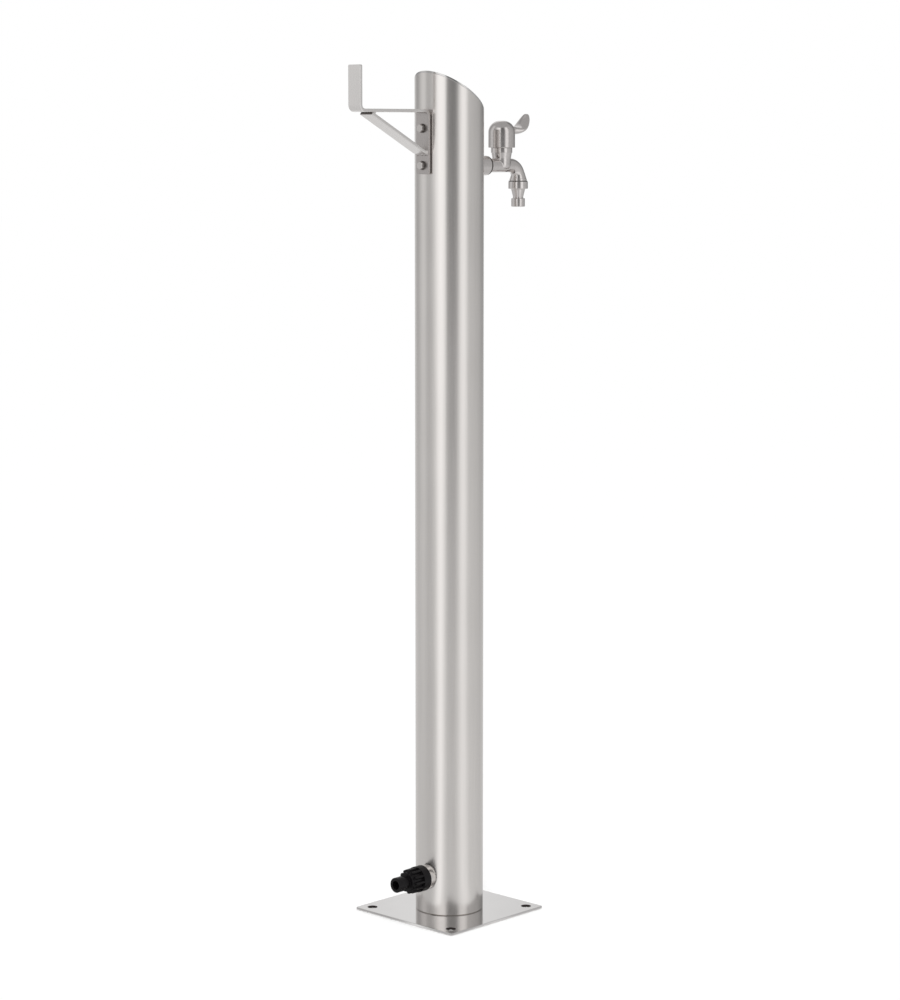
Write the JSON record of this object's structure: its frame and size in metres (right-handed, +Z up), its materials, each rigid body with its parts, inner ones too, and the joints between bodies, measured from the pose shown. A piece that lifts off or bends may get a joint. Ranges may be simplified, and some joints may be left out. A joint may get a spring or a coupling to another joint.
{
  "type": "garden standpipe",
  "caption": "Round stainless steel garden water column with a slanted top, bolted base plate, quarter-turn lever tap with hose nozzle, bent hose hook and a rear hose inlet.",
  "frame": {"origin": "centre of the base plate's bolt pattern, on the post's axis, at the underside of the plate", "axes": "+Z up along the post, -Y towards the tap, +Y towards the hose hook and the inlet"},
  "size_m": [0.15, 0.2718, 0.9445],
  "materials": {
    "brushed_steel": "vertically brushed stainless steel",
    "bright_steel": "plain bright stainless steel",
    "polished_steel": "polished cast steel",
    "black_plastic": "moulded black plastic",
    "brass": "plain turned brass",
    "rubber": "black sealing rubber",
    "pipe_plastic": "plain white plastic pipe",
    "ptfe": "white PTFE"
  },
  "bodies": {
    "column": {"base_plate": "brushed_steel", "column_tube": "brushed_steel", "top_cap": "brushed_steel", "hook_strap": "brushed_steel", "hook_brace": "brushed_steel", "hook_screws": "bright_steel", "hook_washers": "bright_steel", "hook_rivet_nuts": "bright_steel", "inlet_bush": "bright_steel", "inlet_washer": "rubber", "inlet_adapter": "black_plastic", "lower_elbow": "brass", "riser_pipe": "pipe_plastic", "upper_elbow": "brass", "riser_nuts": "brass", "riser_olives": "brass", "tap_saddle": "rubber", "tap_locknut": "brass", "tap_body": "polished_steel", "ball_seats": "ptfe", "seat_retainer": "brass", "thrust_washer": "ptfe", "gland_nut": "brass", "outlet_washer": "rubber", "outlet_nozzle": "polished_steel"},
    "lever": {"tap_handle": "polished_steel", "handle_grub_screw": "bright_steel", "tap_stem": "bright_steel", "stem_orings": "rubber", "valve_ball": "polished_steel"}
  },
  "joints": [
    {"name": "lever_turn", "type": "hinge", "parent": "column", "child": "lever", "pos_m": [0, -0.0845, 0.837], "axis": [0, 0, 1], "range_deg": [0, 90]}
  ]
}
